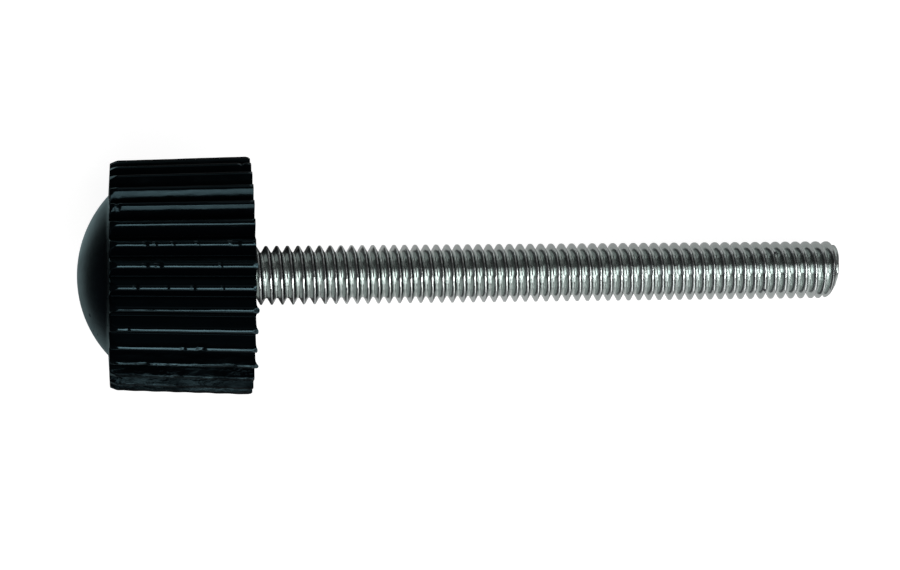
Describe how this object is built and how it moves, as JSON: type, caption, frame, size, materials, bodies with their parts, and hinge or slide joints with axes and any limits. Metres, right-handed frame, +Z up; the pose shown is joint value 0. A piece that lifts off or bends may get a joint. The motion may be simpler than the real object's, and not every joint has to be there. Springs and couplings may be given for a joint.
{
  "type": "thumb screw",
  "caption": "Thumb screw with a toothed, domed plastic head moulded round the hexagon of a long, fully threaded steel screw.",
  "frame": {"origin": "centre of the part's box, on the surface that it lies on", "axes": "+X runs from the head towards the screw's tip, along the surface; +Z up. The screw's own axis dips towards the tip by the angle at which the part rests on the rim of its head and on its tip"},
  "size_m": [0.0504, 0.0154, 0.0162],
  "materials": {
    "black_plastic": "moulded black plastic, satin, with sharp slightly nicked teeth",
    "zinc_steel": "bright zinc plate over a rolled thread"
  },
  "bodies": {
    "root": {"knurled_head": "black_plastic", "screw": "zinc_steel"}
  },
  "joints": []
}
